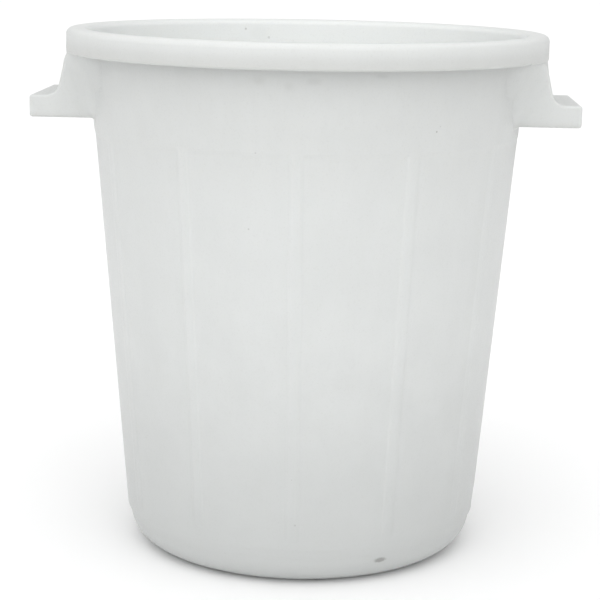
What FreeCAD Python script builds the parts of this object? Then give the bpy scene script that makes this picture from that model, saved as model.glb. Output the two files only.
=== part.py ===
import FreeCAD, Part
import math
import os
import Sketcher

# Round handled tub of natural polyethylene, modelled as the named regions of one moulding.
# Millimetres. +Z is up, the origin is on the floor at the tub's axis, and the handles lie on +X and -X.

# Driving dimensions: alias, value, what it measures.
DIMENSIONS = (
    ("tub_height", 556.0, "floor to the flat top of the rim"),
    ("rim_radius", 255.0, "outside of the rim"),
    ("rim_edge", 6.5, "outer rounding of the rim's two upper edges"),
    ("lip_bottom", 530.6, "height of the rim lip's lower edge"),
    ("lip_curl", 2.0, "how far the lip's lower edge turns inwards"),
    ("lip_round", 3.0, "rounding of the lip's lower outer edge"),
    ("floor_radius", 187.9, "wall line carried down to the floor"),
    ("draft_angle", 4.74, "lean of the wall from upright, degrees"),
    ("wall_thick", 3.0, "wall and base thickness"),
    ("corner_round", 38.0, "outer rounding between wall and base"),
    ("foot_width", 14.0, "width of the ring that the tub stands on"),
    ("foot_rise", 3.0, "how far the base panel is dished up"),
    ("gate_radius", 7.0, "moulding gate boss under the base"),
    ("gate_depth", 1.5, "height of the gate boss"),
    ("collar_bottom", 451.0, "height of the step under the collar"),
    ("collar_step", 0.8, "how far collar and ribs stand off the wall"),
    ("rib_count", 12.0, "ribs around the wall"),
    ("rib_angle", 3.3, "angle that one rib takes up, degrees"),
    ("rib_bottom", 48.0, "height where a rib starts"),
    ("rib_run_in", 10.0, "length over which a rib rises from the wall"),
    ("handle_reach", 286.5, "axis to the handle's outer face"),
    ("handle_half", 67.0, "half the handle's width"),
    ("handle_wall", 3.5, "thickness of the handle's walls"),
    ("handle_bottom", 464.0, "height of the handle's lower edge"),
    ("shelf_top", 487.0, "height of the handle's flat shelf"),
    ("shelf_fillet", 11.0, "rounding between apron and shelf"),
    ("shelf_start", 266.9, "axis to the start of the flat shelf"),
    ("apron_angle", 13.0, "lean of the apron from upright, degrees"),
    ("edge_round", 3.0, "rounding of the handle's outer edges"),
)

# Sizes that follow from the driving ones, as expressions for the document.
DRAFT = "(Sizes.draft_angle * 1 deg)"
LEAN = "(Sizes.apron_angle * 1 deg)"
WALL = f"(Sizes.wall_thick / cos({DRAFT}))"
THICK = f"({WALL} + Sizes.collar_step)"
INNER_ROUND = "(Sizes.corner_round - Sizes.wall_thick)"
FOOT_EDGE = (f"(Sizes.floor_radius + Sizes.corner_round * tan({DRAFT})"
             f" - Sizes.corner_round / cos({DRAFT}))")
FOOT_INSIDE = f"({FOOT_EDGE} - Sizes.foot_width)"
RIM_LEVEL = "(Sizes.tub_height - Sizes.rim_edge)"
RIM_WIDTH = (f"(Sizes.rim_radius - Sizes.floor_radius - {RIM_LEVEL} * tan({DRAFT}) + {WALL})")
CREST_RADIUS = f"(Sizes.rim_radius - {RIM_WIDTH} / 2)"
LEDGE_TOP = "(Sizes.lip_bottom + Sizes.handle_wall)"
SHELF_UNDER = "(Sizes.shelf_top - Sizes.handle_wall)"
LIP_INSIDE = "(Sizes.handle_reach - Sizes.handle_wall)"


def wall_radius(level):
    """Outside radius of the tapered wall at a height."""
    return f"(Sizes.floor_radius + {level} * tan({DRAFT}))"


def collar_radius(level):
    """Outside radius of the collar and the ribs at a height."""
    return f"({wall_radius(level)} + Sizes.collar_step)"


def inside_radius(level):
    """Inside radius of wall and collar at a height."""
    return f"({wall_radius(level)} - {WALL})"


document = FreeCAD.newDocument("HandledTub")
sheet = document.addObject("Spreadsheet::Sheet", "Sizes")
for row, (alias, size, meaning) in enumerate(DIMENSIONS, start=1):
    sheet.set(f"A{row}", meaning)
    sheet.set(f"B{row}", str(size))
    sheet.setAlias(f"B{row}", alias)
document.recompute()

sub_parts = []


def value(expression):
    """Number that an expression gives now."""
    result = sheet.evalExpression(expression)
    return float(getattr(result, "Value", result))


def keep(piece, name):
    """Name a sub-part and list it for export."""
    piece.Label = name
    sub_parts.append(piece)
    return piece


def arc_between(start, end, radius, turn):
    """Arc from start to end; turn is 1 for anticlockwise and -1 for clockwise."""
    chord = end - start
    rise = math.sqrt(max(radius ** 2 - (chord.Length / 2) ** 2, 0.0))
    across = FreeCAD.Vector(-chord.y, chord.x, 0).normalize()
    centre = (start + end) / 2 + across * rise * turn
    angles = [math.atan2(point.y - centre.y, point.x - centre.x) for point in (start, end)]
    if turn < 0:
        angles.reverse()
    circle = Part.Circle(centre, FreeCAD.Vector(0, 0, 1), radius)
    return Part.ArcOfCircle(circle, angles[0], angles[1])


def draw_outline(sketch, corners):
    """Closed outline through corners (across, up[, radius, turn]), every size bound to the sheet.

    A corner with a radius and a turn starts an arc to the next corner, any other starts a line.
    """
    points = [FreeCAD.Vector(value(corner[0]), value(corner[1]), 0) for corner in corners]
    ends = []
    for index, corner in enumerate(corners):
        start = points[index]
        end = points[(index + 1) % len(corners)]
        if len(corner) == 4:
            edge = sketch.addGeometry(arc_between(start, end, value(corner[2]), corner[3]))
            ends.append((edge, 1, 2) if corner[3] > 0 else (edge, 2, 1))
            bound = sketch.addConstraint(Sketcher.Constraint("Radius", edge, value(corner[2])))
            sketch.setExpression(f"Constraints[{bound}]", corner[2])
        else:
            edge = sketch.addGeometry(Part.LineSegment(start, end))
            ends.append((edge, 1, 2))
    for index, (edge, first, last) in enumerate(ends):
        following, begin, _ = ends[(index + 1) % len(ends)]
        sketch.addConstraint(Sketcher.Constraint("Coincident", edge, last, following, begin))
        for kind, size, expression in (("DistanceX", points[index].x, corners[index][0]),
                                       ("DistanceY", points[index].y, corners[index][1])):
            bound = sketch.addConstraint(Sketcher.Constraint(kind, edge, first, size))
            sketch.setExpression(f"Constraints[{bound}]", expression)


def body_with_section(name, corners, offset=None):
    """Body holding one sketch in its own XZ plane, moved along the plane's normal by offset."""
    body = document.addObject("PartDesign::Body", name)
    section = body.newObject("Sketcher::SketchObject", f"{name}_section")
    plane = next(item for item in body.Origin.OriginFeatures if item.Role == "XZ_Plane")
    section.AttachmentSupport = (plane, [""])
    section.MapMode = "FlatFace"
    if offset:
        section.setExpression("AttachmentOffset.Base.z", offset)
    draw_outline(section, corners)
    return body, section


def turned(name, corners, angle="360"):
    """Body made by turning a section about the tub's axis, half of the angle to each side."""
    body, section = body_with_section(name, corners)
    turn = body.newObject("PartDesign::Revolution", f"{name}_turn")
    turn.Profile = section
    turn.ReferenceAxis = (section, ["V_Axis"])
    turn.Midplane = True
    turn.setExpression("Angle", angle)
    return body


def padded(name, corners, length, offset=None):
    """Body made by padding a section, about its own plane unless an offset is given."""
    body, section = body_with_section(name, corners, offset)
    pad = body.newObject("PartDesign::Pad", f"{name}_pad")
    pad.Profile = section
    if offset is None:
        pad.Midplane = True
    pad.setExpression("Length", length)
    return body


def cylinder(name, radius, thickness, level):
    """Upright disc on the tub's axis with its lower face at level."""
    disc = document.addObject("Part::Cylinder", name)
    disc.setExpression("Radius", radius)
    disc.setExpression("Height", thickness)
    disc.setExpression("Placement.Base.z", level)
    return disc


def make_base():
    """Dished base panel, gate boss, foot ring and the rounded corner up to the wall."""
    keep(cylinder("base_panel", FOOT_INSIDE, "Sizes.wall_thick", "Sizes.foot_rise"), "base_panel")
    gate_level = "Sizes.foot_rise - Sizes.gate_depth"
    keep(cylinder("gate_boss", "Sizes.gate_radius", "Sizes.gate_depth", gate_level), "gate_boss")
    foot = (
        (FOOT_INSIDE, "0"),
        (FOOT_EDGE, "0"),
        (FOOT_EDGE, "Sizes.wall_thick"),
        (FOOT_INSIDE, "Sizes.foot_rise + Sizes.wall_thick"),
    )
    keep(turned("foot_ring", foot), "foot_ring")
    corner = (
        (FOOT_EDGE, "0", "Sizes.corner_round", 1),
        (f"{FOOT_EDGE} + Sizes.corner_round * cos({DRAFT})",
         f"Sizes.corner_round * (1 - sin({DRAFT}))"),
        (f"{FOOT_EDGE} + {INNER_ROUND} * cos({DRAFT})",
         f"Sizes.corner_round - {INNER_ROUND} * sin({DRAFT})", INNER_ROUND, -1),
        (FOOT_EDGE, "Sizes.wall_thick"),
    )
    keep(turned("base_corner", corner), "base_corner")


def make_wall():
    """Tapered wall up to the step, and the thicker collar above it."""
    wall = (
        (f"{FOOT_EDGE} + Sizes.corner_round * cos({DRAFT})",
         f"Sizes.corner_round * (1 - sin({DRAFT}))"),
        (wall_radius("Sizes.collar_bottom"), "Sizes.collar_bottom"),
        (inside_radius("Sizes.collar_bottom"), "Sizes.collar_bottom"),
        (f"{FOOT_EDGE} + {INNER_ROUND} * cos({DRAFT})",
         f"Sizes.corner_round - {INNER_ROUND} * sin({DRAFT})"),
    )
    keep(turned("tub_wall", wall), "tub_wall")
    collar = (
        (inside_radius("Sizes.collar_bottom"), "Sizes.collar_bottom"),
        (collar_radius("Sizes.collar_bottom"), "Sizes.collar_bottom"),
        (collar_radius(RIM_LEVEL), RIM_LEVEL),
        (inside_radius(RIM_LEVEL), RIM_LEVEL),
    )
    keep(turned("collar", collar), "collar")


def make_rim():
    """Inner and outer halves of the flat-topped rolled rim, and the lip that hangs from it."""
    rim_inside = f"(Sizes.rim_radius - {RIM_WIDTH})"
    under_edge = f"(Sizes.rim_edge - {THICK})"
    inner_roll = (
        (rim_inside, RIM_LEVEL, "Sizes.rim_edge", -1),
        (f"{rim_inside} + Sizes.rim_edge", "Sizes.tub_height"),
        (CREST_RADIUS, "Sizes.tub_height"),
        (CREST_RADIUS, f"Sizes.tub_height - {THICK}"),
        (f"{rim_inside} + Sizes.rim_edge", f"Sizes.tub_height - {THICK}", under_edge, 1),
        (f"{rim_inside} + {THICK}", RIM_LEVEL),
    )
    keep(turned("rim_inner_roll", inner_roll), "rim_inner_roll")
    outer_roll = (
        (CREST_RADIUS, "Sizes.tub_height"),
        ("Sizes.rim_radius - Sizes.rim_edge", "Sizes.tub_height", "Sizes.rim_edge", -1),
        ("Sizes.rim_radius", RIM_LEVEL),
        (f"Sizes.rim_radius - {THICK}", RIM_LEVEL, under_edge, 1),
        ("Sizes.rim_radius - Sizes.rim_edge", f"Sizes.tub_height - {THICK}"),
        (CREST_RADIUS, f"Sizes.tub_height - {THICK}"),
    )
    keep(turned("rim_outer_roll", outer_roll), "rim_outer_roll")
    lip = (
        (f"Sizes.rim_radius - {THICK}", RIM_LEVEL),
        (f"Sizes.rim_radius - {THICK}", "Sizes.lip_bottom + 2 * Sizes.lip_curl"),
        (f"Sizes.rim_radius - {THICK} - Sizes.lip_curl", "Sizes.lip_bottom + Sizes.lip_curl"),
        (f"Sizes.rim_radius - {THICK} - Sizes.lip_curl", "Sizes.lip_bottom"),
        ("Sizes.rim_radius - Sizes.lip_round", "Sizes.lip_bottom", "Sizes.lip_round", 1),
        ("Sizes.rim_radius", "Sizes.lip_bottom + Sizes.lip_round"),
        ("Sizes.rim_radius", RIM_LEVEL),
    )
    keep(turned("rim_lip", lip), "rim_lip")


def make_ribs():
    """Low upright ribs, evenly spaced, rising out of the wall and ending at the collar."""
    rib_top = "(Sizes.rib_bottom + Sizes.rib_run_in)"
    section = (
        (wall_radius("Sizes.rib_bottom"), "Sizes.rib_bottom"),
        (collar_radius(rib_top), rib_top),
        (collar_radius("Sizes.collar_bottom"), "Sizes.collar_bottom"),
        (wall_radius("Sizes.collar_bottom"), "Sizes.collar_bottom"),
    )
    for number in range(int(value("Sizes.rib_count"))):
        name = f"rib_{number + 1:02d}"
        rib = turned(name, section, "Sizes.rib_angle")
        rib.setExpression("Placement.Rotation.Angle", f"{number} * 360 / Sizes.rib_count")
        keep(rib, name)


def make_handle_clearance():
    """Space that the collar and the rim lip take from the handles."""
    low = "Sizes.handle_bottom - 2 * Sizes.handle_wall"
    core = (
        ("0", low),
        (collar_radius(f"({low})"), low),
        (collar_radius(RIM_LEVEL), RIM_LEVEL),
        ("0", RIM_LEVEL),
    )
    inside = f"Sizes.rim_radius - {THICK} - Sizes.lip_curl"
    outside = "Sizes.handle_reach"
    around_lip = (
        (inside, "Sizes.lip_bottom"),
        (outside, "Sizes.lip_bottom"),
        (outside, RIM_LEVEL),
        (inside, RIM_LEVEL),
    )
    clearance = document.addObject("Part::MultiFuse", "handle_clearance")
    clearance.Shapes = [turned("collar_core", core), turned("lip_sleeve", around_lip)]
    return clearance


def make_handle(side, angle, clearance):
    """Box-shaped handle: sloped apron, flat shelf, hanging lip and two end plates."""
    fillet_up = "(Sizes.shelf_top + Sizes.shelf_fillet)"
    heel = (f"(Sizes.shelf_start - Sizes.shelf_fillet * cos({LEAN}))",
            f"({fillet_up} - Sizes.shelf_fillet * sin({LEAN}))")
    outer_fillet = "(Sizes.shelf_fillet + Sizes.handle_wall)"
    inner_heel = (f"(Sizes.shelf_start - {outer_fillet} * cos({LEAN}))",
                  f"({fillet_up} - {outer_fillet} * sin({LEAN}))")
    ledge_front = f"({heel[0]} - (Sizes.lip_bottom - {heel[1]}) * tan({LEAN}))"
    ledge_back = f"({inner_heel[0]} - ({LEDGE_TOP} - {inner_heel[1]}) * tan({LEAN}))"
    reach = "Sizes.handle_reach"
    soft = "Sizes.edge_round"

    apron = (
        inner_heel,
        heel,
        (ledge_front, "Sizes.lip_bottom"),
        ("Sizes.rim_radius", "Sizes.lip_bottom"),
        ("Sizes.rim_radius", LEDGE_TOP),
        (ledge_back, LEDGE_TOP),
    )
    shelf = (
        (*inner_heel, outer_fillet, 1),
        ("Sizes.shelf_start", SHELF_UNDER),
        (LIP_INSIDE, SHELF_UNDER),
        (LIP_INSIDE, "Sizes.shelf_top"),
        ("Sizes.shelf_start", "Sizes.shelf_top", "Sizes.shelf_fillet", -1),
        heel,
    )
    lip = (
        (LIP_INSIDE, "Sizes.handle_bottom"),
        (f"{reach} - {soft}", "Sizes.handle_bottom", soft, 1),
        (reach, f"Sizes.handle_bottom + {soft}"),
        (reach, f"Sizes.shelf_top - {soft}", soft, 1),
        (f"{reach} - {soft}", "Sizes.shelf_top"),
        (LIP_INSIDE, "Sizes.shelf_top"),
    )
    # The plates start inside the tub's wall, and the clearance cuts them back to its surface.
    plate = (
        ("Sizes.floor_radius", "Sizes.handle_bottom"),
        (f"{reach} - {soft}", "Sizes.handle_bottom", soft, 1),
        (reach, f"Sizes.handle_bottom + {soft}"),
        (reach, f"Sizes.shelf_top - {soft}", soft, 1),
        (f"{reach} - {soft}", "Sizes.shelf_top"),
        ("Sizes.shelf_start", "Sizes.shelf_top", "Sizes.shelf_fillet", -1),
        heel,
        (ledge_front, "Sizes.lip_bottom"),
        (ledge_front, LEDGE_TOP),
        ("Sizes.floor_radius", LEDGE_TOP),
    )
    between_plates = "2 * (Sizes.handle_half - Sizes.handle_wall)"
    blanks = (
        ("handle_apron", padded(f"{side}_apron_blank", apron, between_plates)),
        ("handle_shelf", padded(f"{side}_shelf_blank", shelf, between_plates)),
        ("handle_lip", padded(f"{side}_lip_blank", lip, between_plates)),
        ("handle_front_plate", padded(f"{side}_front_blank", plate, "Sizes.handle_wall",
                                      "Sizes.handle_half - Sizes.handle_wall")),
        ("handle_rear_plate", padded(f"{side}_rear_blank", plate, "Sizes.handle_wall",
                                     "-Sizes.handle_half")),
    )
    for piece, blank in blanks:
        trimmed = document.addObject("Part::Cut", f"{side}_{piece}")
        trimmed.Base = blank
        trimmed.Tool = clearance
        trimmed.Placement.Rotation = FreeCAD.Rotation(FreeCAD.Vector(0, 0, 1), angle)
        keep(trimmed, f"{side}_{piece}")


make_base()
make_wall()
make_rim()
make_ribs()
handle_clearance = make_handle_clearance()
make_handle("right", 0, handle_clearance)
make_handle("left", 180, handle_clearance)
document.recompute()

for item in document.Objects:
    if "Invalid" in item.State or "Error" in item.State:
        raise RuntimeError(f"{item.Label} did not compute: {item.State}")
for piece in sub_parts:
    if piece.Shape.isNull() or not piece.Shape.isValid():
        raise RuntimeError(f"{piece.Label} has no valid shape")

os.makedirs("parts", exist_ok=True)
for piece in sub_parts:
    piece.Shape.exportStep(os.path.join("parts", f"{piece.Label}.step"))
    print(f"{piece.Label}: {piece.Shape.Volume / 1000:.1f} cm3, {len(piece.Shape.Solids)} solid")
print(f"{len(sub_parts)} sub-parts written")
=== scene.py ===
import math

import bmesh
import bpy
import numpy as np
from bpy.props import FloatProperty, FloatVectorProperty, IntProperty, PointerProperty
from mathutils import Matrix, Vector


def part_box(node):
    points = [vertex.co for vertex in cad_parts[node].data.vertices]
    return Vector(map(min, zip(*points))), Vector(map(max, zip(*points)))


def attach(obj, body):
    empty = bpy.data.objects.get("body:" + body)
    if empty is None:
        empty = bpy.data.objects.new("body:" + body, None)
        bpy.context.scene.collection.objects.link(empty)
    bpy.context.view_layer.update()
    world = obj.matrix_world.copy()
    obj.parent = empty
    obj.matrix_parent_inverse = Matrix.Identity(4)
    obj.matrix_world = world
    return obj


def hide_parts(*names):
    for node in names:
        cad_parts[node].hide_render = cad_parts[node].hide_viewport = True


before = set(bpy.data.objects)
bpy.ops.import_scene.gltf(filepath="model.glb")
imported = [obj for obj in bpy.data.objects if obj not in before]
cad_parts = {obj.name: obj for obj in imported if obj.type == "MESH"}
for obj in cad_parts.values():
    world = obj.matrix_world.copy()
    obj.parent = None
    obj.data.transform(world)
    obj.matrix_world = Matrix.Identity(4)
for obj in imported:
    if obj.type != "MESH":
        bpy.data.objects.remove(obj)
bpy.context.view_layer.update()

bl_info = {
    "name": "Handled Tub",
    "version": (1, 0, 0),
    "blender": (4, 5, 0),
    "location": "View3D > Sidebar > Tub",
    "description": "Round open tub of natural polyethylene with a rolled rim and two shelf handles",
    "category": "Add Mesh",
}

MM = 0.001
RIBS = sorted(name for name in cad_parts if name.startswith("rib_"))
SHELL_NODES = (
    "base_panel",
    "gate_boss",
    "foot_ring",
    "base_corner",
    "tub_wall",
    "collar",
    "rim_inner_roll",
    "rim_outer_roll",
    "rim_lip",
    *RIBS,
)
HANDLE_PARTS = ("apron", "shelf", "lip", "front_plate", "rear_plate")
# Points closer than this are one point.
SAME_POINT = 0.005 * MM
# Faces round each of the rim's two upper edges.
EDGE_STEPS = 12

# Marks of use and patches of painted shadow, set to whole degrees and 5 mm: degrees from +X,
# height, half width and half height in millimetres, how dark, and whether the mark is inside the tub.
MARKS = (
    # One scuff low on the front, to the right.
    (-61, 25, 6.5, 3.4, 0.50, False),
    # Specks on the collar and down the front.
    (-54, 470, 1.0, 1.0, 0.60, False),
    (-53, 475, 0.8, 0.8, 0.25, False),
    (-102, 375, 0.9, 0.9, 0.25, False),
    (-100, 450, 0.9, 0.9, 0.25, False),
    (-89, 70, 1.2, 1.2, 0.25, False),
    # Painted shadow just under the lip, in faint dark patches.
    (-99, 520, 7.0, 4.5, 0.06, False),
    (-92, 515, 5.0, 4.5, 0.05, False),
    (-86, 520, 8.0, 4.0, 0.07, False),
    (-70, 525, 7.0, 2.5, 0.08, False),
    # A faint patch with specks, inside at the back.
    (107, 540, 11.0, 9.0, 0.03, True),
    (104, 535, 1.6, 1.6, 0.20, True),
    (111, 545, 1.3, 1.3, 0.30, True),
)


def low(node):
    """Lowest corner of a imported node's box."""
    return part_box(node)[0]


def high(node):
    """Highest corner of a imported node's box."""
    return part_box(node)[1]


def linear(code):
    """Linear colour of an sRGB hex code such as E6E8E6."""
    shares = [int(code[start : start + 2], 16) / 255 for start in (0, 2, 4)]
    return tuple(s / 12.92 if s <= 0.04045 else ((s + 0.055) / 1.055) ** 2.4 for s in shares)


def length(name, about, default):
    """A size in metres."""
    return FloatProperty(name=name, description=about, default=default, unit="LENGTH", precision=5)


def colour(name, about, code):
    """A colour that starts from an sRGB hex code."""
    return FloatVectorProperty(
        name=name, description=about, default=linear(code), subtype="COLOR", min=0.0, max=1.0
    )


class TubSizes(bpy.types.PropertyGroup):
    """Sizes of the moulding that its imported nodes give, and its roundings."""

    tub_height: length("Height", "Floor to the flat top of the rim", high("rim_outer_roll").z)
    rim_radius: length("Rim radius", "Outside of the rim", high("rim_lip").x)
    rim_level: length("Rim level", "Height where the rim's edges start", high("rim_lip").z)
    lip_bottom: length("Lip bottom", "Height of the lip's lower edge", low("rim_lip").z)
    collar_bottom: length("Collar bottom", "Height of the step under the collar", low("collar").z)
    collar_top_radius: length("Collar radius", "Collar's outside under the rim", high("collar").x)
    wall_top_radius: length("Wall top radius", "Wall's outside at the step", high("tub_wall").x)
    wall_foot_radius: length("Wall foot radius", "Wall's outside at its foot", high("base_corner").x)
    wall_foot: length("Wall foot", "Height where the straight wall starts", low("tub_wall").z)
    wall_thick: length("Wall", "Thickness of wall and base",
                       high("base_panel").z - low("base_panel").z)
    corner_round: length("Corner", "Outer rounding between wall and base", high("base_corner").z)
    foot_edge: length("Foot edge", "Outside of the flat foot ring", high("foot_ring").x)
    foot_inside: length("Foot inside", "Inside of the flat foot ring", high("base_panel").x)
    foot_rise: length("Foot rise", "How far the base panel is dished up", low("base_panel").z)
    gate_radius: length("Gate radius", "Moulding gate under the base", high("gate_boss").x)
    gate_bottom: length("Gate bottom", "Lowest height of the gate boss", low("gate_boss").z)
    rib_bottom: length("Rib bottom", "Height where a rib starts", low("rib_01").z)
    rib_width: length("Rib width", "Width of a rib", 12 * MM)
    rib_flank: length("Rib flank", "Width of a rib's sloping edge", 4 * MM)
    rib_run_in: length("Rib run-in", "Length over which a rib rises", 12 * MM)
    step_length: length("Step length", "Height over which the collar's step rises", 7 * MM)
    gate_round: length("Gate rounding", "Rounding of the gate boss", 0.6 * MM)
    foot_round: length("Foot rounding", "Rounding of the foot ring's inner step", 1.2 * MM)
    lip_curl: length("Lip curl", "How far the lip's lower edge turns in", 2 * MM)
    lip_round: length("Lip rounding", "Rounding of the lip's lower edge outside", 3 * MM)
    lip_inner_round: length("Lip inner rounding", "Rounding above the curl inside", 1.5 * MM)
    curl_round: length("Curl rounding", "Rounding of the curl's own edges", 0.7 * MM)
    rib_count: IntProperty(name="Ribs", description="Ribs around the wall", default=len(RIBS))
    rib_steps: IntProperty(name="Steps", description="Faces from one rib to the next", default=36)
    crest_steps: IntProperty(name="Crest steps", description="Faces on half a rib's crest", default=2)
    flank_steps: IntProperty(name="Flank steps", description="Faces on a rib's flank", default=4)


class HandleSizes(bpy.types.PropertyGroup):
    """Sizes of the two shelf handles, and their roundings."""

    reach: length("Reach", "Axis to the handle's outer face", high("right_handle_lip").x)
    half_width: length("Half width", "Half the handle's width",
                       high("right_handle_rear_plate").y)
    bottom: length("Bottom", "Height of the handle's lower edge", low("right_handle_lip").z)
    shelf_top: length("Shelf top", "Height of the flat shelf", high("right_handle_lip").z)
    thickness: length("Thickness", "Thickness of the handle's walls",
                      high("right_handle_lip").x - low("right_handle_lip").x)
    heel_height: length("Heel height", "Height where the apron's straight part ends",
                        high("right_handle_shelf").z)
    heel_reach: length("Heel reach", "Axis to the foot of the apron", high("right_handle_apron").x)
    apron_lean: FloatProperty(name="Apron lean", description="Lean of the apron from upright",
                              default=math.radians(13), subtype="ANGLE")
    shelf_fillet: length("Shelf fillet", "Rounding between apron and shelf", 11 * MM)
    outer_round: length("Outer rounding", "Rounding of the shelf's outer edges", 3 * MM)
    side_round: length("Side rounding", "Rounding of the end plates' edges", 2.5 * MM)
    wall_fillet: length("Wall fillet", "Blend between the handle's sides and the wall", 18 * MM)
    under_fillet: length("Under fillet", "Blend between the handle's lower edge and the wall", 5 * MM)
    lip_fillet: length("Lip fillet", "Blend between handle and rim lip", 1.5 * MM)
    shoulder_round: length("Shoulder rounding", "Rounding where the handle narrows", 5 * MM)
    shoulder_slant: FloatProperty(name="Shoulder slant", description="Lean of the handle's narrowing",
                                  default=math.radians(50), subtype="ANGLE")
    web_drop: length("Web drop", "How far the web beside the handle starts below the lip", 42 * MM)
    web_spread: length("Web spread", "How far past the handle the web runs out", 45 * MM)
    web_cover: length("Web cover", "How far the web climbs the lip's face", 3 * MM)
    web_inset: length("Web inset", "How far the web stays behind the lip's face", 0.8 * MM)
    mouth_round: length("Mouth rounding", "Rounding of the pocket's lower edge", 1 * MM)
    # Height of the painted shade along each handle's lower edge.
    underside_shade_height: length("Shade height", "Height of the painted shade along the handle's lower edge", 7 * MM)
    grid: length("Grid", "Spacing of the points that find the handle's skin", 1.2 * MM)


class FinishColours(bpy.types.PropertyGroup):
    """Colours of the plastic, its soiling, its painted light and shade, and the floor."""

    plastic: colour("Plastic", "Natural polyethylene", "CFD1D0")
    thick_plastic: colour("Thick plastic", "Where the wall is thicker, as in a rib", "D6D8D7")
    # Painted light: lighter plastic for the inside, and a painted highlight towards the rim's top.
    lit_plastic: colour("Lit plastic", "Inside, and partly on the rim's top", "EDEFEE")
    # Painted shade: darker plastic towards the floor, where less light reaches from below.
    low_shade_plastic: colour("Shaded plastic", "Painted shade near the floor", "C0C2C1")
    # Used both for dust in the grain and for the painted shade on the collar, lip and handles' lower edges.
    grime_and_shade: colour("Grime and shade", "Dust, and painted shade on the collar, lip and handles' lower edges", "9A9890")
    # Also the colour of the patches of painted shadow under the lip.
    speck_and_shadow: colour("Speck and shadow", "Dark specks stuck in the surface", "5A5650")
    floor: colour("Floor", "Plain pale floor", "FAFAFA")


class StudioSizes(bpy.types.PropertyGroup):
    """Where the camera and the lamps stand."""

    camera_distance: length("Camera distance", "Camera to the tub's axis", 1.9065)
    camera_height: length("Camera height", "Camera above the floor", 0.652)
    camera_turn: FloatProperty(name="Camera turn", description="Camera's turn about the tub",
                               default=math.radians(2.3), subtype="ANGLE")
    camera_pitch: FloatProperty(name="Camera pitch", description="Camera's downward tilt",
                                default=0.2006, subtype="ANGLE")
    camera_roll: FloatProperty(name="Camera roll", description="Camera's roll about its view",
                               default=0.0178, subtype="ANGLE")
    focal: FloatProperty(name="Focal length", description="Lens in millimetres", default=106.57)
    shift_x: FloatProperty(name="Shift across", description="Lens shift across", default=-0.0055)
    shift_y: FloatProperty(name="Shift up", description="Lens shift up", default=-0.0022)
    floor_side: length("Floor side", "Side of the square floor", 60.0)
    light_above: FloatProperty(name="Light above", description="Light from overhead", default=1.47)
    light_front: FloatProperty(name="Light in front", description="Light from -Y", default=1.5)
    light_back: FloatProperty(name="Light behind", description="Light from +Y", default=0.5)
    light_left: FloatProperty(name="Light from left", description="Light from -X", default=0.56)
    light_right: FloatProperty(name="Light from right", description="Light from +X", default=0.41)
    box_height: length("Soft box height", "Soft box above the floor", 3.0)
    box_front: length("Soft box in front", "Soft box in front of the tub's axis", 2.0)
    box_aim: length("Soft box aim", "Height on the axis that the soft box faces", 0.3)
    box_side: length("Soft box", "Side of the square soft box over the camera", 2.2)
    box_power: FloatProperty(name="Soft box power", description="Its light", default=12.0,
                             subtype="POWER", unit="POWER")


# ---------------------------------------------------------------------------------------------
# Meshes


def mesh_object(name, points, faces=(), edges=()):
    """Object at the origin with a mesh of these points."""
    mesh = bpy.data.meshes.new(name)
    mesh.from_pydata([tuple(point) for point in points], list(edges), [list(f) for f in faces])
    mesh.update()
    piece = bpy.data.objects.new(name, mesh)
    bpy.context.scene.collection.objects.link(piece)
    return piece


def face_outwards(piece):
    """Merge doubles and point every face of a closed mesh outwards, smoothly shaded."""
    shape = bmesh.new()
    shape.from_mesh(piece.data)
    bmesh.ops.remove_doubles(shape, verts=shape.verts, dist=SAME_POINT)
    bmesh.ops.recalc_face_normals(shape, faces=shape.faces)
    for face in shape.faces:
        face.smooth = True
    if shape.calc_volume(signed=True) < 0:
        bmesh.ops.reverse_faces(shape, faces=shape.faces)
    shape.to_mesh(piece.data)
    shape.free()


def hand_over(piece, *nodes):
    """Let a finished piece ride on the tub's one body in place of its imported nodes."""
    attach(piece, "root")
    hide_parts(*nodes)


# ---------------------------------------------------------------------------------------------
# Tub shell: a section turned about the axis, with ribs raised from its wall


def wall_radius(sizes, level):
    """Outside radius of the tapered wall at a height."""
    rise = (level - sizes.wall_foot) / (sizes.collar_bottom - sizes.wall_foot)
    return sizes.wall_foot_radius + rise * (sizes.wall_top_radius - sizes.wall_foot_radius)


def wall_slope(sizes):
    """How far the wall leans out over each metre of height."""
    return (sizes.wall_top_radius - sizes.wall_foot_radius) / (sizes.collar_bottom - sizes.wall_foot)


def collar_step(sizes):
    """How far the collar stands out from the wall."""
    return sizes.collar_top_radius - wall_radius(sizes, sizes.rim_level)


def outer_radius(sizes, level):
    """Outside radius at a height, with the rounded corner at the foot."""
    if level > sizes.wall_foot:
        return wall_radius(sizes, level)
    below = sizes.corner_round - level
    return sizes.foot_edge + math.sqrt(sizes.corner_round**2 - below**2)


def smooth_share(share):
    """Soft step from 0 to 1."""
    share = np.clip(share, 0.0, 1.0)
    return share * share * (3 - 2 * share)


def arc(centre, radius, start, end, count):
    """Points of an arc, with its angles in degrees."""
    angles = [math.radians(start + (end - start) * step / count) for step in range(count + 1)]
    return [(centre[0] + radius * math.cos(a), centre[1] + radius * math.sin(a)) for a in angles]


def rounded(before, corner, after, radius, count=4):
    """Points that round a corner between two straight runs."""
    here = Vector(corner)
    back = (Vector(before) - here).normalized()
    forth = (Vector(after) - here).normalized()
    half = back.angle(forth) / 2
    centre = here + (back + forth).normalized() * radius / math.sin(half)
    start = here + back * radius / math.tan(half) - centre
    end = here + forth * radius / math.tan(half) - centre
    turn = start.angle_signed(end)
    points = []
    for step in range(count + 1):
        spun = start.copy()
        spun.rotate(Matrix.Rotation(-turn * step / count, 2))
        points.append(tuple(centre + spun))
    return points


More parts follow.
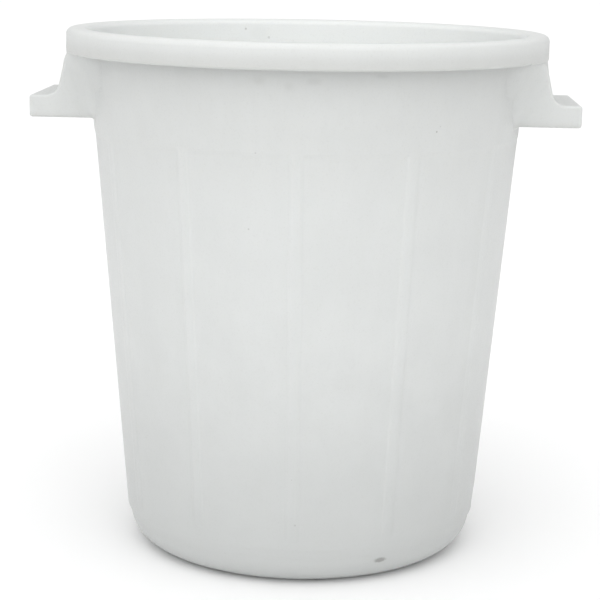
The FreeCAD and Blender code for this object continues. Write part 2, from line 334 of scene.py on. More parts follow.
def shell_section(sizes):
    """Section from the base's middle below, round the outside and the rim, to its middle inside.

    Each point is (radius, height, how far a rib rises there, how far it is inside the tub).
    """
    draft = math.atan(wall_slope(sizes))
    wall = sizes.wall_thick / math.cos(draft)
    step = collar_step(sizes)
    thick = wall + step
    rim_edge = sizes.tub_height - sizes.rim_level
    under_edge = rim_edge - thick
    rim_inside = wall_radius(sizes, sizes.rim_level) - wall
    inner_edge = (rim_inside + rim_edge, sizes.rim_level)
    outer_edge = (sizes.rim_radius - rim_edge, sizes.rim_level)
    floor_top = sizes.foot_rise + sizes.wall_thick
    corner_centre = (sizes.foot_edge, sizes.corner_round)
    lip_inside = sizes.rim_radius - thick
    curl = sizes.lip_curl

    def plain(points, indoors=0.0):
        return [(*point, 0.0, indoors) for point in points]

    gate = [(0.0, sizes.gate_bottom)]
    gate += rounded((0, sizes.gate_bottom), (sizes.gate_radius, sizes.gate_bottom),
                    (sizes.gate_radius, sizes.foot_rise), sizes.gate_round)
    gate += rounded((sizes.gate_radius, sizes.gate_bottom), (sizes.gate_radius, sizes.foot_rise),
                    (sizes.foot_inside, sizes.foot_rise), sizes.gate_round)
    under = [(sizes.gate_radius + reach * (sizes.foot_inside - sizes.gate_radius), sizes.foot_rise)
             for reach in (0.25, 0.5, 0.75)]
    ring = rounded((0, sizes.foot_rise), (sizes.foot_inside, sizes.foot_rise),
                   (sizes.foot_inside, 0), sizes.foot_round)
    ring += rounded((sizes.foot_inside, sizes.foot_rise), (sizes.foot_inside, 0),
                    (sizes.foot_edge, 0), sizes.foot_round)
    corner = arc(corner_centre, sizes.corner_round, -90, -math.degrees(draft), 20)

    outside = []
    levels = np.concatenate([
        np.linspace(sizes.wall_foot, sizes.rib_bottom, 4)[1:],
        np.linspace(sizes.rib_bottom, sizes.rib_bottom + sizes.rib_run_in, 9)[1:],
        np.linspace(sizes.rib_bottom + sizes.rib_run_in, sizes.collar_bottom - sizes.step_length, 20)[1:],
        np.linspace(sizes.collar_bottom - sizes.step_length, sizes.collar_bottom, 9)[1:],
        np.linspace(sizes.collar_bottom, sizes.rim_level, 8)[1:],
    ])
    for level in levels:
        risen = smooth_share((level - sizes.collar_bottom) / sizes.step_length + 1)
        started = smooth_share((level - sizes.rib_bottom) / sizes.rib_run_in)
        radius = wall_radius(sizes, level) + step * risen
        outside.append((radius, level, step * started * (1 - risen), 0.0))

    channel = arc(inner_edge, under_edge, 180, 90, 5)[1:] + arc(outer_edge, under_edge, 90, 0, 5)
    curl_top = (lip_inside, sizes.lip_bottom + 2 * curl)
    curl_tip = (lip_inside - curl, sizes.lip_bottom + curl)
    curl_foot = (lip_inside - curl, sizes.lip_bottom)
    lip_foot = (sizes.rim_radius, sizes.lip_bottom)
    lip = rounded((lip_inside, sizes.rim_level), curl_top, curl_tip, sizes.lip_inner_round)
    lip += rounded(curl_top, curl_tip, curl_foot, sizes.curl_round)
    lip += rounded(curl_tip, curl_foot, lip_foot, sizes.curl_round)
    lip += rounded(curl_foot, lip_foot, (sizes.rim_radius, sizes.rim_level), sizes.lip_round, 8)
    crown = plain(arc(outer_edge, rim_edge, 0, 90, EDGE_STEPS))
    # The inside's share rises over the rim's inner edge, so the inside's painted light starts on the rim's
    # top.
    crown += [(*point, 0.0, smooth_share(step / EDGE_STEPS)) for step, point in
              enumerate(arc(inner_edge, rim_edge, 90, 180, EDGE_STEPS))]
    inside = [(wall_radius(sizes, level) - wall, level)
              for level in np.linspace(sizes.rim_level, sizes.wall_foot, 24)[1:-1]]
    inner_corner = arc(corner_centre, sizes.corner_round - sizes.wall_thick,
                       -math.degrees(draft), -90, 16)
    dish = [(sizes.foot_inside * reach, floor_top) for reach in (1.0, 0.75, 0.5, 0.25, 0.0)]

    return (plain(gate + under + ring + corner) + outside + plain(channel + lip) + crown
            + plain(inside + inner_corner + dish, indoors=1.0))


class NodeTree:
    """Adds nodes to a tree, with their settings and links."""

    def __init__(self, tree):
        self.tree = tree

    def add(self, kind, inputs=None, **settings):
        """Add a node; inputs maps its sockets to a value or to another node's output."""
        made = self.tree.nodes.new(kind)
        for name, setting in settings.items():
            setattr(made, name, setting)
        for socket, given in (inputs or {}).items():
            if isinstance(given, bpy.types.NodeSocket):
                self.tree.links.new(given, made.inputs[socket])
            else:
                made.inputs[socket].default_value = given
        return made

    def maths(self, operation, first, second=0.0):
        """Result of a sum on one or two values."""
        made = self.add("ShaderNodeMath", {0: first, 1: second}, operation=operation)
        return made.outputs[0]


def turning_tree():
    """Geometry nodes that turn a section about Z and raise its ribs."""
    tree = bpy.data.node_groups.new("turn_and_rib", "GeometryNodeTree")
    ports = (
        ("Section", "INPUT", "NodeSocketGeometry"),
        ("Ribs", "INPUT", "NodeSocketInt"),
        ("Steps", "INPUT", "NodeSocketInt"),
        ("Rib Width", "INPUT", "NodeSocketFloat"),
        ("Rib Flank", "INPUT", "NodeSocketFloat"),
        ("Crest Steps", "INPUT", "NodeSocketInt"),
        ("Flank Steps", "INPUT", "NodeSocketInt"),
        ("Foot Radius", "INPUT", "NodeSocketFloat"),
        ("Material", "INPUT", "NodeSocketMaterial"),
        ("Shell", "OUTPUT", "NodeSocketGeometry"),
    )
    for name, direction, kind in ports:
        tree.interface.new_socket(name, in_out=direction, socket_type=kind)
    nodes = NodeTree(tree)
    given = nodes.add("NodeGroupInput").outputs

    count = nodes.add("GeometryNodeAttributeDomainSize", {0: given["Section"]}).outputs["Point Count"]
    around = nodes.maths("ADD", nodes.maths("MULTIPLY", given["Ribs"], given["Steps"]), 1.0)
    grid = nodes.add("GeometryNodeMeshGrid", {"Vertices X": count, "Vertices Y": around})
    index = nodes.add("GeometryNodeInputIndex").outputs[0]
    along = nodes.maths("FLOOR", nodes.maths("DIVIDE", nodes.maths("ADD", index, 0.5), around))
    turned = nodes.maths("SUBTRACT", index, nodes.maths("MULTIPLY", along, around))

    def of_section(value, kind):
        sampled = {"Geometry": given["Section"], "Value": value, "Index": along}
        return nodes.add("GeometryNodeSampleIndex", sampled, data_type=kind).outputs["Value"]

    def stored(name):
        kept = nodes.add("GeometryNodeInputNamedAttribute", {"Name": name}, data_type="FLOAT")
        return of_section(kept.outputs["Attribute"], "FLOAT")

    place = nodes.add("GeometryNodeInputPosition").outputs[0]
    apart = nodes.add("ShaderNodeSeparateXYZ", {0: of_section(place, "FLOAT_VECTOR")}).outputs
    rise = stored("rib_rise")

    # Steps away from the nearest rib turn into a distance from it: a few steps take the crest,
    # a few the flank where the surface bends, and the rest the plain wall between two ribs.
    sector = nodes.maths("DIVIDE", turned, given["Steps"])
    share = nodes.maths("FRACT", sector)
    nearest = nodes.maths("MINIMUM", share, nodes.maths("SUBTRACT", 1.0, share))
    steps = nodes.maths("MULTIPLY", nearest, given["Steps"])
    crest_end = nodes.maths("DIVIDE", nodes.maths("SUBTRACT", given["Rib Width"], given["Rib Flank"]), 2.0)
    flank_end = nodes.maths("ADD", crest_end, given["Rib Flank"])
    flank_step = nodes.maths("ADD", given["Crest Steps"], given["Flank Steps"])
    reach = nodes.maths("MAXIMUM", apart["X"], given["Foot Radius"])
    pitch = nodes.maths("DIVIDE", math.tau, given["Ribs"])
    middle = nodes.maths("DIVIDE", nodes.maths("MULTIPLY", reach, pitch), 2.0)
    across = 0.0
    for start, end, width in (
        (0.0, given["Crest Steps"], crest_end),
        (given["Crest Steps"], flank_step, given["Rib Flank"]),
        (flank_step, nodes.maths("DIVIDE", given["Steps"], 2.0),
         nodes.maths("SUBTRACT", middle, flank_end)),
    ):
        run = nodes.add("ShaderNodeMapRange",
                        {"Value": steps, "From Min": start, "From Max": end, "To Max": width})
        across = nodes.maths("ADD", run.outputs[0], across)
    aside = nodes.maths("DIVIDE", across, reach)
    past = nodes.maths("GREATER_THAN", share, 0.5)
    # Past the middle the angle is counted back from the next rib.
    back = nodes.maths("MULTIPLY", nodes.maths("SUBTRACT", pitch, nodes.maths("MULTIPLY", aside, 2.0)), past)
    angle = nodes.maths("ADD", nodes.maths("MULTIPLY", nodes.maths("FLOOR", sector), pitch),
                        nodes.maths("ADD", aside, back))

    crest = nodes.add("ShaderNodeMapRange",
                      {"Value": across, "From Min": crest_end, "From Max": flank_end,
                       "To Min": 1.0, "To Max": 0.0}, interpolation_type="SMOOTHSTEP").outputs[0]
    radius = nodes.maths("ADD", apart["X"], nodes.maths("MULTIPLY", crest, rise))
    placed = nodes.add("ShaderNodeCombineXYZ",
                       {"X": nodes.maths("MULTIPLY", radius, nodes.maths("COSINE", angle)),
                        "Y": nodes.maths("MULTIPLY", radius, nodes.maths("SINE", angle)),
                        "Z": apart["Z"]}).outputs[0]
    marked = grid
    rib_share = nodes.maths("MULTIPLY", crest, nodes.maths("GREATER_THAN", rise, 0.0))
    for name, value in (("thick", rib_share), ("indoors", stored("indoors"))):
        marked = nodes.add("GeometryNodeStoreNamedAttribute",
                           {"Geometry": marked.outputs[0], "Name": name, "Value": value},
                           data_type="FLOAT", domain="POINT")
    moved = nodes.add("GeometryNodeSetPosition", {"Geometry": marked.outputs[0], "Position": placed})
    closed = nodes.add("GeometryNodeMergeByDistance",
                       {"Geometry": moved.outputs[0], "Distance": SAME_POINT})
    smooth = nodes.add("GeometryNodeSetShadeSmooth", {"Geometry": closed.outputs[0]})
    real = nodes.add("GeometryNodeRealizeInstances", {"Geometry": smooth.outputs[0]})
    coated = nodes.add("GeometryNodeSetMaterial",
                       {"Geometry": real.outputs[0], "Material": given["Material"]})
    nodes.add("NodeGroupOutput", {"Shell": coated.outputs[0]})
    return tree


def grow(piece, tree, given):
    """Run a geometry nodes tree on a piece and keep its result as a plain mesh."""
    modifier = piece.modifiers.new(tree.name, "NODES")
    modifier.node_group = tree
    for item in tree.interface.items_tree:
        if item.in_out == "INPUT" and item.name in given:
            modifier[item.identifier] = given[item.name]
    scene_now = bpy.context.evaluated_depsgraph_get()
    grown = bpy.data.meshes.new_from_object(piece.evaluated_get(scene_now), depsgraph=scene_now)
    grown.name = piece.name
    piece.modifiers.remove(modifier)
    piece.data = grown


def build_shell(sizes, finish):
    """Base, ribbed wall, collar and rolled rim as one smooth skin."""
    section = shell_section(sizes)
    edges = [(index, index + 1) for index in range(len(section) - 1)]
    shell = mesh_object("tub_shell", [(point[0], 0.0, point[1]) for point in section], edges=edges)
    for column, name in ((2, "rib_rise"), (3, "indoors")):
        kept = shell.data.attributes.new(name, "FLOAT", "POINT")
        kept.data.foreach_set("value", [point[column] for point in section])
    given = {
        "Ribs": sizes.rib_count,
        "Steps": sizes.rib_steps,
        "Rib Width": sizes.rib_width,
        "Rib Flank": sizes.rib_flank,
        "Crest Steps": sizes.crest_steps,
        "Flank Steps": sizes.flank_steps,
        "Foot Radius": sizes.wall_foot_radius,
        "Material": polyethylene(finish, sizes),
    }
    grow(shell, turning_tree(), given)
    face_outwards(shell)
    hand_over(shell, *SHELL_NODES)


# ---------------------------------------------------------------------------------------------
# Handles: distance fields of the box, the wall and the lip, blended with round fillets


def join_round(first, second, radius):
    """Distance to two solids joined with a round fillet."""
    over = np.hypot(np.maximum(radius - first, 0), np.maximum(radius - second, 0))
    return np.maximum(radius, np.minimum(first, second)) - over


def meet_round(first, second, radius):
    """Distance to what two solids share, with its edge rounded."""
    return -join_round(-first, -second, radius)


class HandleForm:
    """Distance field of one handle on +X, blended to the wall and the rim lip."""

    # The blended skin sinks this far into the shell where it has run out on it.
    SINK = 0.03 * MM
    # Depth of plastic kept behind the blended skin, inside the shell's own wall.
    BACKING = 1.4 * MM
    # How the web's swell steepens towards the lip.
    WEB_CURVE = 1.5
    # Share of a fillet's radius at which the plastic counts as fully thick.
    FULLY_THICK = 0.2
    # Rounding of the lip's edges, and half the height of it that the blend needs.
    LIP_SOFT = 1.5 * MM
    LIP_HALF = 10 * MM
    # Roundings in the finger pocket, how far it runs past the lip's edge, and the least rounding.
    POCKET_ROUND = 2 * MM
    POCKET_WALL_ROUND = 2.5 * MM
    POCKET_OVER = 1 * MM
    LEAST_ROUND = 0.3 * MM

    def __init__(self, tub, handle):
        self.tub = tub
        self.handle = handle
        self.slope = wall_slope(tub)
        self.draft = math.atan(self.slope)

    def wall(self, x, y, z):
        """Distance to the collar's outside, less than zero inside the tub."""
        radius = self.tub.collar_top_radius + (z - self.tub.rim_level) * self.slope
        return (np.hypot(x, y) - radius) * math.cos(self.draft)

    def webbed(self, x, y, z):
        """Distance to the collar with the web that swells out to the lip beside the handle."""
        tub, handle = self.tub, self.handle
        climb = np.clip((z - tub.lip_bottom - handle.web_cover) / handle.web_drop + 1, 0, 1)
        past = (np.abs(y) - handle.half_width) / handle.web_spread
        swell = (1 - smooth_share(past)) * climb ** self.WEB_CURVE
        return self.wall(x, y, z) - swell * (tub.rim_radius - handle.web_inset
                                             - tub.collar_top_radius)

    def fillet(self, z):
        """Blend between the handle and the wall, tighter along the handle's lower edge."""
        handle = self.handle
        share = smooth_share((z - handle.bottom) / handle.wall_fillet)
        return handle.under_fillet + share * (handle.wall_fillet - handle.under_fillet)

    def blended(self, x, y, z):
        """Distance to the handle's filled box joined to the wall, and to the nearer of the two."""
        box = self.outer(x, y, z)
        wall = self.webbed(x, y, z)
        return join_round(box, wall, self.fillet(z)), np.minimum(box, wall)

    def thickening(self, x, y, z):
        """Share of extra plastic in the blends, as 1 in the middle of a fillet."""
        joined, nearer = self.blended(x, y, z)
        return np.clip((nearer - joined) / (self.FULLY_THICK * self.fillet(z)), 0, 1)

    def lip(self, x, y, z):
        """Distance to the hanging lip of the rim."""
        tub, soft = self.tub, self.LIP_SOFT
        half = (tub.wall_thick / math.cos(self.draft) + collar_step(tub)) / 2
        middle = tub.rim_radius - half
        centre = tub.lip_bottom + self.LIP_HALF
        across = np.abs(np.hypot(x, y) - middle) - half + soft
        up = np.abs(z - centre) - self.LIP_HALF + soft
        outside = np.hypot(np.maximum(across, 0), np.maximum(up, 0))
        return np.minimum(np.maximum(across, up), 0) + outside - soft

    def profile(self, x, z, inset=0.0, bottom=None):
        """Distance to the handle's outline seen along Y, moved in by inset."""
        handle = self.handle
        lean = handle.apron_lean
        apron = ((x - handle.heel_reach) * math.cos(lean)
                 + (z - handle.heel_height) * math.sin(lean)) + inset
        soft = max(handle.outer_round - inset, self.LEAST_ROUND)
        shelf = meet_round(x - handle.reach + inset, z - handle.shelf_top + inset, soft)
        box = join_round(apron, shelf, handle.shelf_fillet + inset)
        if bottom is None:
            return box
        return meet_round(box, bottom - z, soft)

    def outer(self, x, y, z):
        """Distance to the handle's filled box with rounded edges."""
        handle = self.handle
        soft = handle.side_round
        outline = self.profile(x, z, bottom=handle.bottom)
        side = np.abs(y) - handle.half_width
        return meet_round(outline, side, soft)

    def pocket(self, x, y, z):
        """Distance to the hollow for the fingers, open below."""
        handle = self.handle
        outline = self.profile(x, z, inset=handle.thickness)
        side = np.abs(y) - handle.half_width + handle.thickness
        hollow = meet_round(outline, side, self.POCKET_ROUND)
        hollow = meet_round(hollow, z - self.tub.lip_bottom - self.POCKET_OVER, self.POCKET_ROUND)
        return meet_round(hollow, -self.wall(x, y, z), self.POCKET_WALL_ROUND)

    def shoulder(self, x, y, z):
        """Distance to the cone that narrows the handle's top to the lip's face."""
        handle = self.handle
        slant = handle.shoulder_slant
        below = np.maximum(self.tub.lip_bottom - z, 0)
        apart = np.hypot(x, y) - self.tub.rim_radius + handle.web_inset
        return apart * math.cos(slant) - below * math.sin(slant)

    def __call__(self, x, y, z):
        joined, _ = self.blended(x, y, z)
        joined = meet_round(joined, self.shoulder(x, y, z), self.handle.shoulder_round)
        joined = join_round(joined, self.lip(x, y, z), self.handle.lip_fillet)
        hollowed = meet_round(joined, -self.pocket(x, y, z), self.handle.mouth_round)
        return np.maximum(hollowed + self.SINK, -self.wall(x, y, z) - self.BACKING)


def skin(form, lowest, highest, spacing):
    """Quads on the zero level of a distance field, one point in each cell that it crosses."""
    axes = [np.arange(a, b + spacing, spacing) for a, b in zip(lowest, highest)]
    field = form(*np.meshgrid(*axes, indexing="ij"))
    # The outermost layer counts as outside, so that the skin closes there.
    for axis in range(3):
        ends = [slice(None)] * 3
        for end in (0, -1):
            ends[axis] = end
            field[tuple(ends)] = np.maximum(field[tuple(ends)], 0.5 * spacing)
    inside = field < 0
    shape = np.array(field.shape) - 1
    total = np.zeros((*shape, 3))
    hits = np.zeros(shape)
    corners = [np.array([i, j, k]) for i in (0, 1) for j in (0, 1) for k in (0, 1)]

    def block(array, corner):
        return array[tuple(slice(c, c + n) for c, n in zip(corner, shape))]

    for first in corners:
        for axis in range(3):
            if first[axis]:
                continue
            second = first.copy()
            second[axis] = 1
            one, two = block(field, first), block(field, second)
            crossed = block(inside, first) != block(inside, second)
            share = np.where(crossed, one / np.where(crossed, one - two, 1), 0)
            for part in range(3):
                total[..., part] += crossed * (first[part] + (share if part == axis else 0))
            hits += crossed
    used = hits > 0
    number = np.full(shape, -1)
    number[used] = np.arange(used.sum())
    cells = np.argwhere(used)
    points = (cells + total[used] / hits[used][:, None]) * spacing + np.array(lowest)

    faces = []
    for axis in range(3):
        second, third = (axis + 1) % 3, (axis + 2) % 3
        ahead = np.roll(inside, -1, axis)
        edge = np.argwhere(inside != ahead)
        keep = ((edge[:, axis] < shape[axis]) & (edge[:, second] > 0) & (edge[:, third] > 0)
                & (edge[:, second] < shape[second]) & (edge[:, third] < shape[third]))
        edge = edge[keep]
        ring = []
        for back_second, back_third in ((0, 0), (1, 0), (1, 1), (0, 1)):
            cell = edge.copy()
            cell[:, second] -= back_second
            cell[:, third] -= back_third
            ring.append(number[tuple(cell.T)])
        quads = np.stack(ring, axis=1)
        leaving = inside[tuple(edge.T)]
        quads[~leaving] = quads[~leaving][:, ::-1]
        faces.append(quads)
    return settle(form, points, spacing), np.concatenate(faces)


def settle(form, points, spacing, rounds=4):
    """Move points along the field's slope until they lie on its zero level."""
    reach = 0.02 * MM
    least_steep = 0.25
    longest_move = 0.4 * spacing
    for _ in range(rounds):
        value = form(*points.T)
        slope = np.empty_like(points)
        for axis in range(3):
            aside = points.copy()
            aside[:, axis] += reach
            slope[:, axis] = (form(*aside.T) - value) / reach
        steep = np.maximum((slope ** 2).sum(1), least_steep)
        move = -slope * (value / steep)[:, None]
        size = np.linalg.norm(move, axis=1)
        move *= np.minimum(1, longest_move / np.maximum(size, 1e-9))[:, None]
        points = points + move
    return points


def build_handles(tub, handle, finish):
    """Both handles: the form on +X, and the same turned to -X."""
    # Room round the handle for its blends to run out.
    margin = 12 * MM
    over_lip = 8 * MM
    side = handle.half_width + handle.web_spread + handle.grid
    lowest = (tub.wall_top_radius - 3 * margin, -side, handle.bottom - margin)
    highest = (handle.reach + 2 * handle.grid, side, tub.lip_bottom + over_lip)
    form = HandleForm(tub, handle)
    points, faces = skin(form, lowest, highest, handle.grid)
    shares = {
        "thick": form.thickening(*points.T),
        # Painted shade along each handle's lower edge, where its underside is in shade.
        "underside_shade": smooth_share(1 - (points[:, 2] - handle.bottom) / handle.underside_shade_height),
    }
    plastic = polyethylene(finish, tub)
    for name, turn in (("right", 1), ("left", -1)):
        piece = mesh_object(f"{name}_handle", points * (turn, turn, 1), faces)
        for share, amounts in shares.items():
            piece.data.attributes.new(share, "FLOAT", "POINT").data.foreach_set("value", amounts)
        piece.data.materials.append(plastic)
        face_outwards(piece)
        hand_over(piece, *(f"{name}_handle_{part}" for part in HANDLE_PARTS))


# ---------------------------------------------------------------------------------------------
# Finish

# Height from which painted shade darkens the outside, down to the floor, and how unevenly it starts.
SHADE_TOP = 300 * MM
SHADE_UNEVEN = 60 * MM
# Height over which the painted shade under the rim fades out below the collar.
COLLAR_SHADE_FADE = 60 * MM
# Height above the lip's lower edge from which the painted highlight on the rim starts.
HIGHLIGHT_FROM = 8 * MM

# Sizes of the plastic's patterns: patches like a palm, flow streaks, waves in the surface.
CLOUD = 45 * MM
STREAK = 14 * MM
WAVE = 18 * MM
# Grain of the spark-eroded mould, really about 0.3 mm, drawn larger so that it shows.
GRAIN = 2 * MM
# Distance between the specks that lie all round, and the largest one's share of it.
SPECK_SPACING = 24 * MM
SPECK_REACH = 0.03

# Largest share of a second colour in each effect.
CLOUD_WHITENING = 0.3
THICK_WHITENING = 0.15
RIM_HIGHLIGHT = 0.3
# Shares of painted shade down the lip, on the collar and along the handles' lower edges.
LIP_SHADE = 0.16
COLLAR_SHADE = 0.05
EDGE_SHADE = 0.16
GRAIN_GRIME = 0.11
SPECK_DARK = 0.3


def noise(nodes, place, size, detail=3.0, rough=0.55):
    """Noise value whose patches are about size metres across."""
    return nodes.add("ShaderNodeTexNoise",
                     {"Vector": place, "Scale": 1 / size, "Detail": detail, "Roughness": rough}
                     ).outputs["Fac"]


def ramp(nodes, value, start, end, low_value=0.0, high_value=1.0):
    """Soft change from low_value at start to high_value at end."""
    return nodes.add("ShaderNodeMapRange",
                     {"Value": value, "From Min": start, "From Max": end, "To Min": low_value,
                      "To Max": high_value}, interpolation_type="SMOOTHSTEP").outputs[0]


def tinted(nodes, base, tint, share):
    """One colour mixed towards another by a share."""
    made = nodes.add("ShaderNodeMix", {"Factor": share}, data_type="RGBA")
    for socket, given in (("A", base), ("B", tint)):
        port = next(i for i in made.inputs if i.name == socket and i.type == "RGBA")
        if isinstance(given, bpy.types.NodeSocket):
            nodes.tree.links.new(given, port)
        else:
            port.default_value = (*given, 1.0)
    return next(o for o in made.outputs if o.type == "RGBA")


def spot(nodes, place, sizes, mark, ragged):
    """Share of one mark: its darkness in the middle, fading to 0 at a ragged edge."""
    degrees, level, across, up, dark, inside = mark
    turn = math.radians(degrees)
    radius = outer_radius(sizes, level * MM) - (sizes.wall_thick if inside else 0.0)
    centre = (radius * math.cos(turn), radius * math.sin(turn), level * MM)
    # Half the wall's depth, so that a mark on one side of the wall never shows on the other.
    depth = sizes.wall_thick / 2
    local = nodes.add("ShaderNodeMapping",
                      {"Vector": place, "Location": centre, "Rotation": (0.0, 0.0, turn),
                       "Scale": (depth, across * MM, up * MM)}, vector_type="TEXTURE")
    away = nodes.add("ShaderNodeVectorMath", {0: local.outputs[0]}, operation="LENGTH")
    return ramp(nodes, nodes.maths("ADD", away.outputs["Value"], ragged), 0.55, 1.35, dark, 0.0)


def polyethylene(finish, sizes):
    """Natural high density polyethylene, injection moulded and used.

    Milky, faintly see-through plastic: soft waxy highlights, cloudy patches, whiter where it is
    thick, lighter inside as painted light and towards the rim's top as a painted highlight, darker
    towards the floor, on the collar, down the lip and along the handles' lower edges as painted
    shade, with painted shadow in patches under the lip, dust in its grain and flecks of dirt.
    """
    found = bpy.data.materials.get("natural_polyethylene_moulded")
    if found:
        return found
    material = bpy.data.materials.new("natural_polyethylene_moulded")
    material.use_nodes = True
    material.node_tree.nodes.clear()
    nodes = NodeTree(material.node_tree)
    place = nodes.add("ShaderNodeTexCoord").outputs["Object"]
    level = nodes.add("ShaderNodeSeparateXYZ", {0: place}).outputs["Z"]
    indoors = nodes.add("ShaderNodeAttribute", attribute_name="indoors").outputs["Fac"]
    outdoors = nodes.maths("SUBTRACT", 1.0, indoors)

    # Cloudy patches, and faint upright flow streaks from the moulding.
    clouds = noise(nodes, place, CLOUD)
    stretched = nodes.add("ShaderNodeMapping", {"Vector": place, "Scale": (1.0, 1.0, 0.2)})
    streaks = noise(nodes, stretched.outputs[0], STREAK, 2.0)
    grain = noise(nodes, place, GRAIN, 3.0, 0.7)
    milk = nodes.maths("ADD", nodes.maths("MULTIPLY", clouds, 0.65),
                       nodes.maths("MULTIPLY", streaks, 0.35))
    thick = nodes.add("ShaderNodeAttribute", attribute_name="thick").outputs["Fac"]
    whiter = nodes.maths("ADD", ramp(nodes, milk, 0.35, 0.65, 0.0, CLOUD_WHITENING),
                         nodes.maths("MULTIPLY", thick, THICK_WHITENING))
    body = tinted(nodes, tuple(finish.plastic), tuple(finish.thick_plastic), whiter)
    # Painted light: the inside is lighter, as if lit from above and through its wall, and the rim has
    # a painted highlight that grows towards its top.
    rim = ramp(nodes, level, sizes.lip_bottom + HIGHLIGHT_FROM, sizes.tub_height, 0.0, RIM_HIGHLIGHT)
    body = tinted(nodes, body, tuple(finish.lit_plastic), nodes.maths("MAXIMUM", indoors, rim))

    # Painted shade darkens the outside from its middle down to the floor.
    drift = nodes.maths("MULTIPLY", nodes.maths("SUBTRACT", clouds, 0.5), SHADE_UNEVEN)
    patchy = nodes.maths("ADD", level, drift)
    low_shade = ramp(nodes, patchy, SHADE_TOP, 0.0, 0.0, 1.0)
    body = tinted(nodes, body, tuple(finish.low_shade_plastic), nodes.maths("MULTIPLY", low_shade, outdoors))

    # Painted shade: the collar darkens under the rim's overhang, the handles' lower edges darken as
    # undersides in shade, and the lip darkens down its face, stopping short at its lower edge.
    on_lip = ramp(nodes, level, sizes.lip_bottom - 1 * MM, sizes.lip_bottom, 0.0, 1.0)
    lip_shade = ramp(nodes, level, sizes.rim_level, sizes.lip_bottom, 0.0, LIP_SHADE)
    collar_shade = ramp(nodes, patchy, sizes.collar_bottom - COLLAR_SHADE_FADE, sizes.collar_bottom,
                        0.0, COLLAR_SHADE)
    painted_shade = nodes.maths("ADD", collar_shade, nodes.maths("MULTIPLY", lip_shade, on_lip))
    underside_shade = nodes.add("ShaderNodeAttribute", attribute_name="underside_shade").outputs["Fac"]
    painted_shade = nodes.maths("ADD", painted_shade, nodes.maths("MULTIPLY", underside_shade, EDGE_SHADE))
    # Outside, the painted shade; everywhere, dust in the grain.
    dust_and_shade = nodes.maths("ADD", nodes.maths("MULTIPLY", painted_shade, outdoors),
                        ramp(nodes, grain, 0.5, 0.8, 0.0, GRAIN_GRIME))
    body = tinted(nodes, body, tuple(finish.grime_and_shade), dust_and_shade)

    # Specks of dirt, painted shadow in patches under the lip and one scuff low at the front.
    ragged = nodes.maths("MULTIPLY", nodes.maths("SUBTRACT", grain, 0.5), 1.2)
    soil_and_shadow = 0.0
    for mark in MARKS:
        soil_and_shadow = nodes.maths("MAXIMUM", spot(nodes, place, sizes, mark, ragged), soil_and_shadow)
    # A few more specks lie all round, each about a millimetre.
    cells = nodes.add("ShaderNodeTexVoronoi", {"Vector": place, "Scale": 1 / SPECK_SPACING})
    chance = nodes.add("ShaderNodeSeparateColor", {0: cells.outputs["Color"]}).outputs["Red"]
    reach = ramp(nodes, chance, 0.8, 1.0, 0.0, SPECK_REACH)
    near = nodes.maths("LESS_THAN", cells.outputs["Distance"], reach)
    fleck = nodes.maths("MULTIPLY", near, SPECK_DARK)
    body = tinted(nodes, body, tuple(finish.speck_and_shadow), nodes.maths("MAXIMUM", soil_and_shadow, fleck))

    rough = ramp(nodes, grain, 0.3, 0.7, 0.36, 0.5)
    waves = noise(nodes, place, WAVE, 2.0)
    uneven = nodes.maths("ADD", waves, nodes.maths("MULTIPLY", grain, 0.08))
    bump = nodes.add("ShaderNodeBump", {"Height": uneven, "Strength": 0.3, "Distance": 0.3 * MM})
    shader = nodes.add("ShaderNodeBsdfPrincipled", {
        "Base Color": body,
        "Roughness": rough,
        "Normal": bump.outputs[0],
        "IOR": 1.53,
        "Specular IOR Level": 0.35,
        "Subsurface Weight": 0.35,
        "Subsurface Radius": (1.0, 0.97, 0.9),
        "Subsurface Scale": 2.5 * MM,
    })
    nodes.add("ShaderNodeOutputMaterial", {"Surface": shader.outputs[0]})
    return material


# ---------------------------------------------------------------------------------------------
# Stage


def floor_paint(finish):
    """Matt white studio paint, even and without gloss."""
    material = bpy.data.materials.new("matt_studio_paint")
    material.use_nodes = True
    material.node_tree.nodes.clear()
    nodes = NodeTree(material.node_tree)
    shader = nodes.add("ShaderNodeBsdfPrincipled", {
        "Base Color": (*finish.floor, 1.0),
        "Roughness": 0.9,
        "Specular IOR Level": 0.1,
    })
    nodes.add("ShaderNodeOutputMaterial", {"Surface": shader.outputs[0]})
    return material


def add_floor(studio, finish):
    """Large level floor under the tub."""
    half = studio.floor_side / 2
    corners = [(-half, -half, 0), (half, -half, 0), (half, half, 0), (-half, half, 0)]
    floor = mesh_object("studio_floor", corners, [(0, 1, 2, 3)])
    floor.data.materials.append(floor_paint(finish))


def add_soft_box(studio):
    """Square soft box in front of the tub and above it, facing its axis."""
    place = Vector((0, -studio.box_front, studio.box_height))
    aim = Vector((0, 0, studio.box_aim))
    lamp = bpy.data.lights.new("soft_box", "AREA")
    lamp.shape = "SQUARE"
    lamp.size = studio.box_side
    lamp.energy = studio.box_power
    stand = bpy.data.objects.new("soft_box", lamp)
    stand.location = place
    stand.rotation_euler = (aim - place).to_track_quat("-Z", "Y").to_euler()
    bpy.context.scene.collection.objects.link(stand)


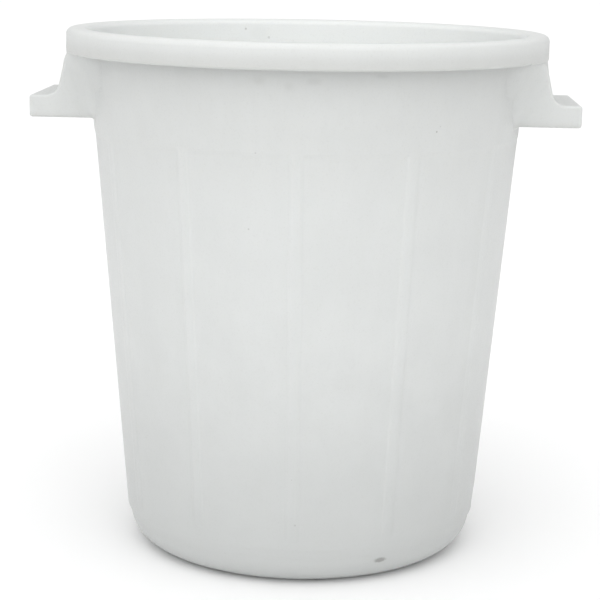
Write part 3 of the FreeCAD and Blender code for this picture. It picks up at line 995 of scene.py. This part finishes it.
def add_daylight(studio):
    """Soft white light from all round, each direction with its own strength."""
    world = bpy.data.worlds.new("studio_white")
    world.use_nodes = True
    world.node_tree.nodes.clear()
    nodes = NodeTree(world.node_tree)
    towards = nodes.add("ShaderNodeTexCoord").outputs["Generated"]
    axes = nodes.add("ShaderNodeSeparateXYZ", {0: towards}).outputs
    total = 0.0
    for axis, sign, strength in (
        ("Z", 1, studio.light_above),
        ("Y", -1, studio.light_front),
        ("Y", 1, studio.light_back),
        ("X", -1, studio.light_left),
        ("X", 1, studio.light_right),
    ):
        facing = nodes.maths("MAXIMUM", nodes.maths("MULTIPLY", axes[axis], float(sign)), 0.0)
        lobe = nodes.maths("MULTIPLY", nodes.maths("MULTIPLY", facing, facing), strength)
        total = nodes.maths("ADD", lobe, total)
    light = nodes.add("ShaderNodeBackground", {"Color": (1.0, 1.0, 1.0, 1.0), "Strength": total})
    nodes.add("ShaderNodeOutputWorld", {"Surface": light.outputs[0]})
    bpy.context.scene.world = world


def add_camera(studio):
    """Camera in front of the tub, looking a little down on it."""
    lens = bpy.data.cameras.new("camera")
    lens.lens = studio.focal
    lens.sensor_width = 36.0
    lens.shift_x = studio.shift_x
    lens.shift_y = studio.shift_y
    camera = bpy.data.objects.new("camera", lens)
    turn = Matrix.Rotation(studio.camera_turn, 4, "Z")
    tilt = Matrix.Rotation(math.pi / 2 - studio.camera_pitch, 4, "X")
    roll = Matrix.Rotation(studio.camera_roll, 4, "Z")
    place = Matrix.Translation((0, -studio.camera_distance, studio.camera_height))
    camera.matrix_world = turn @ place @ tilt @ roll
    bpy.context.scene.collection.objects.link(camera)
    bpy.context.scene.camera = camera


# ---------------------------------------------------------------------------------------------
# Add-on


class TUB_OT_shell(bpy.types.Operator):
    """Turn the tub's section into its base, ribbed wall, collar and rolled rim"""

    bl_idname = "tub.shell"
    bl_label = "Add Tub Shell"

    def execute(self, context):
        build_shell(context.scene.tub_sizes, context.scene.tub_finish)
        return {"FINISHED"}


class TUB_OT_handles(bpy.types.Operator):
    """Add the two shelf handles with their blends into the wall and the rim"""

    bl_idname = "tub.handles"
    bl_label = "Add Tub Handles"

    def execute(self, context):
        scene = context.scene
        build_handles(scene.tub_sizes, scene.tub_handles, scene.tub_finish)
        return {"FINISHED"}


class TUB_OT_stage(bpy.types.Operator):
    """Add the floor, the soft light and the camera"""

    bl_idname = "tub.stage"
    bl_label = "Add Studio"

    def execute(self, context):
        scene = context.scene
        scene.view_settings.view_transform = "Standard"
        add_floor(scene.tub_studio, scene.tub_finish)
        add_daylight(scene.tub_studio)
        add_soft_box(scene.tub_studio)
        add_camera(scene.tub_studio)
        return {"FINISHED"}


class TUB_PT_panel(bpy.types.Panel):
    """Lists the steps that make the tub"""

    bl_label = "Handled Tub"
    bl_idname = "TUB_PT_panel"
    bl_space_type = "VIEW_3D"
    bl_region_type = "UI"
    bl_category = "Tub"

    def draw(self, context):
        for step in STEPS:
            self.layout.operator(step.bl_idname)


STEPS = (TUB_OT_shell, TUB_OT_handles, TUB_OT_stage)
SETTINGS = {
    "tub_sizes": TubSizes,
    "tub_handles": HandleSizes,
    "tub_finish": FinishColours,
    "tub_studio": StudioSizes,
}
CLASSES = (*SETTINGS.values(), *STEPS, TUB_PT_panel)


def register():
    for item in CLASSES:
        bpy.utils.register_class(item)
    for name, group in SETTINGS.items():
        setattr(bpy.types.Scene, name, PointerProperty(type=group))


def unregister():
    for name in SETTINGS:
        delattr(bpy.types.Scene, name)
    for item in reversed(CLASSES):
        bpy.utils.unregister_class(item)


def main():
    register()
    bpy.ops.tub.shell()
    bpy.ops.tub.handles()
    bpy.ops.tub.stage()


if __name__ == "__main__":
    main()
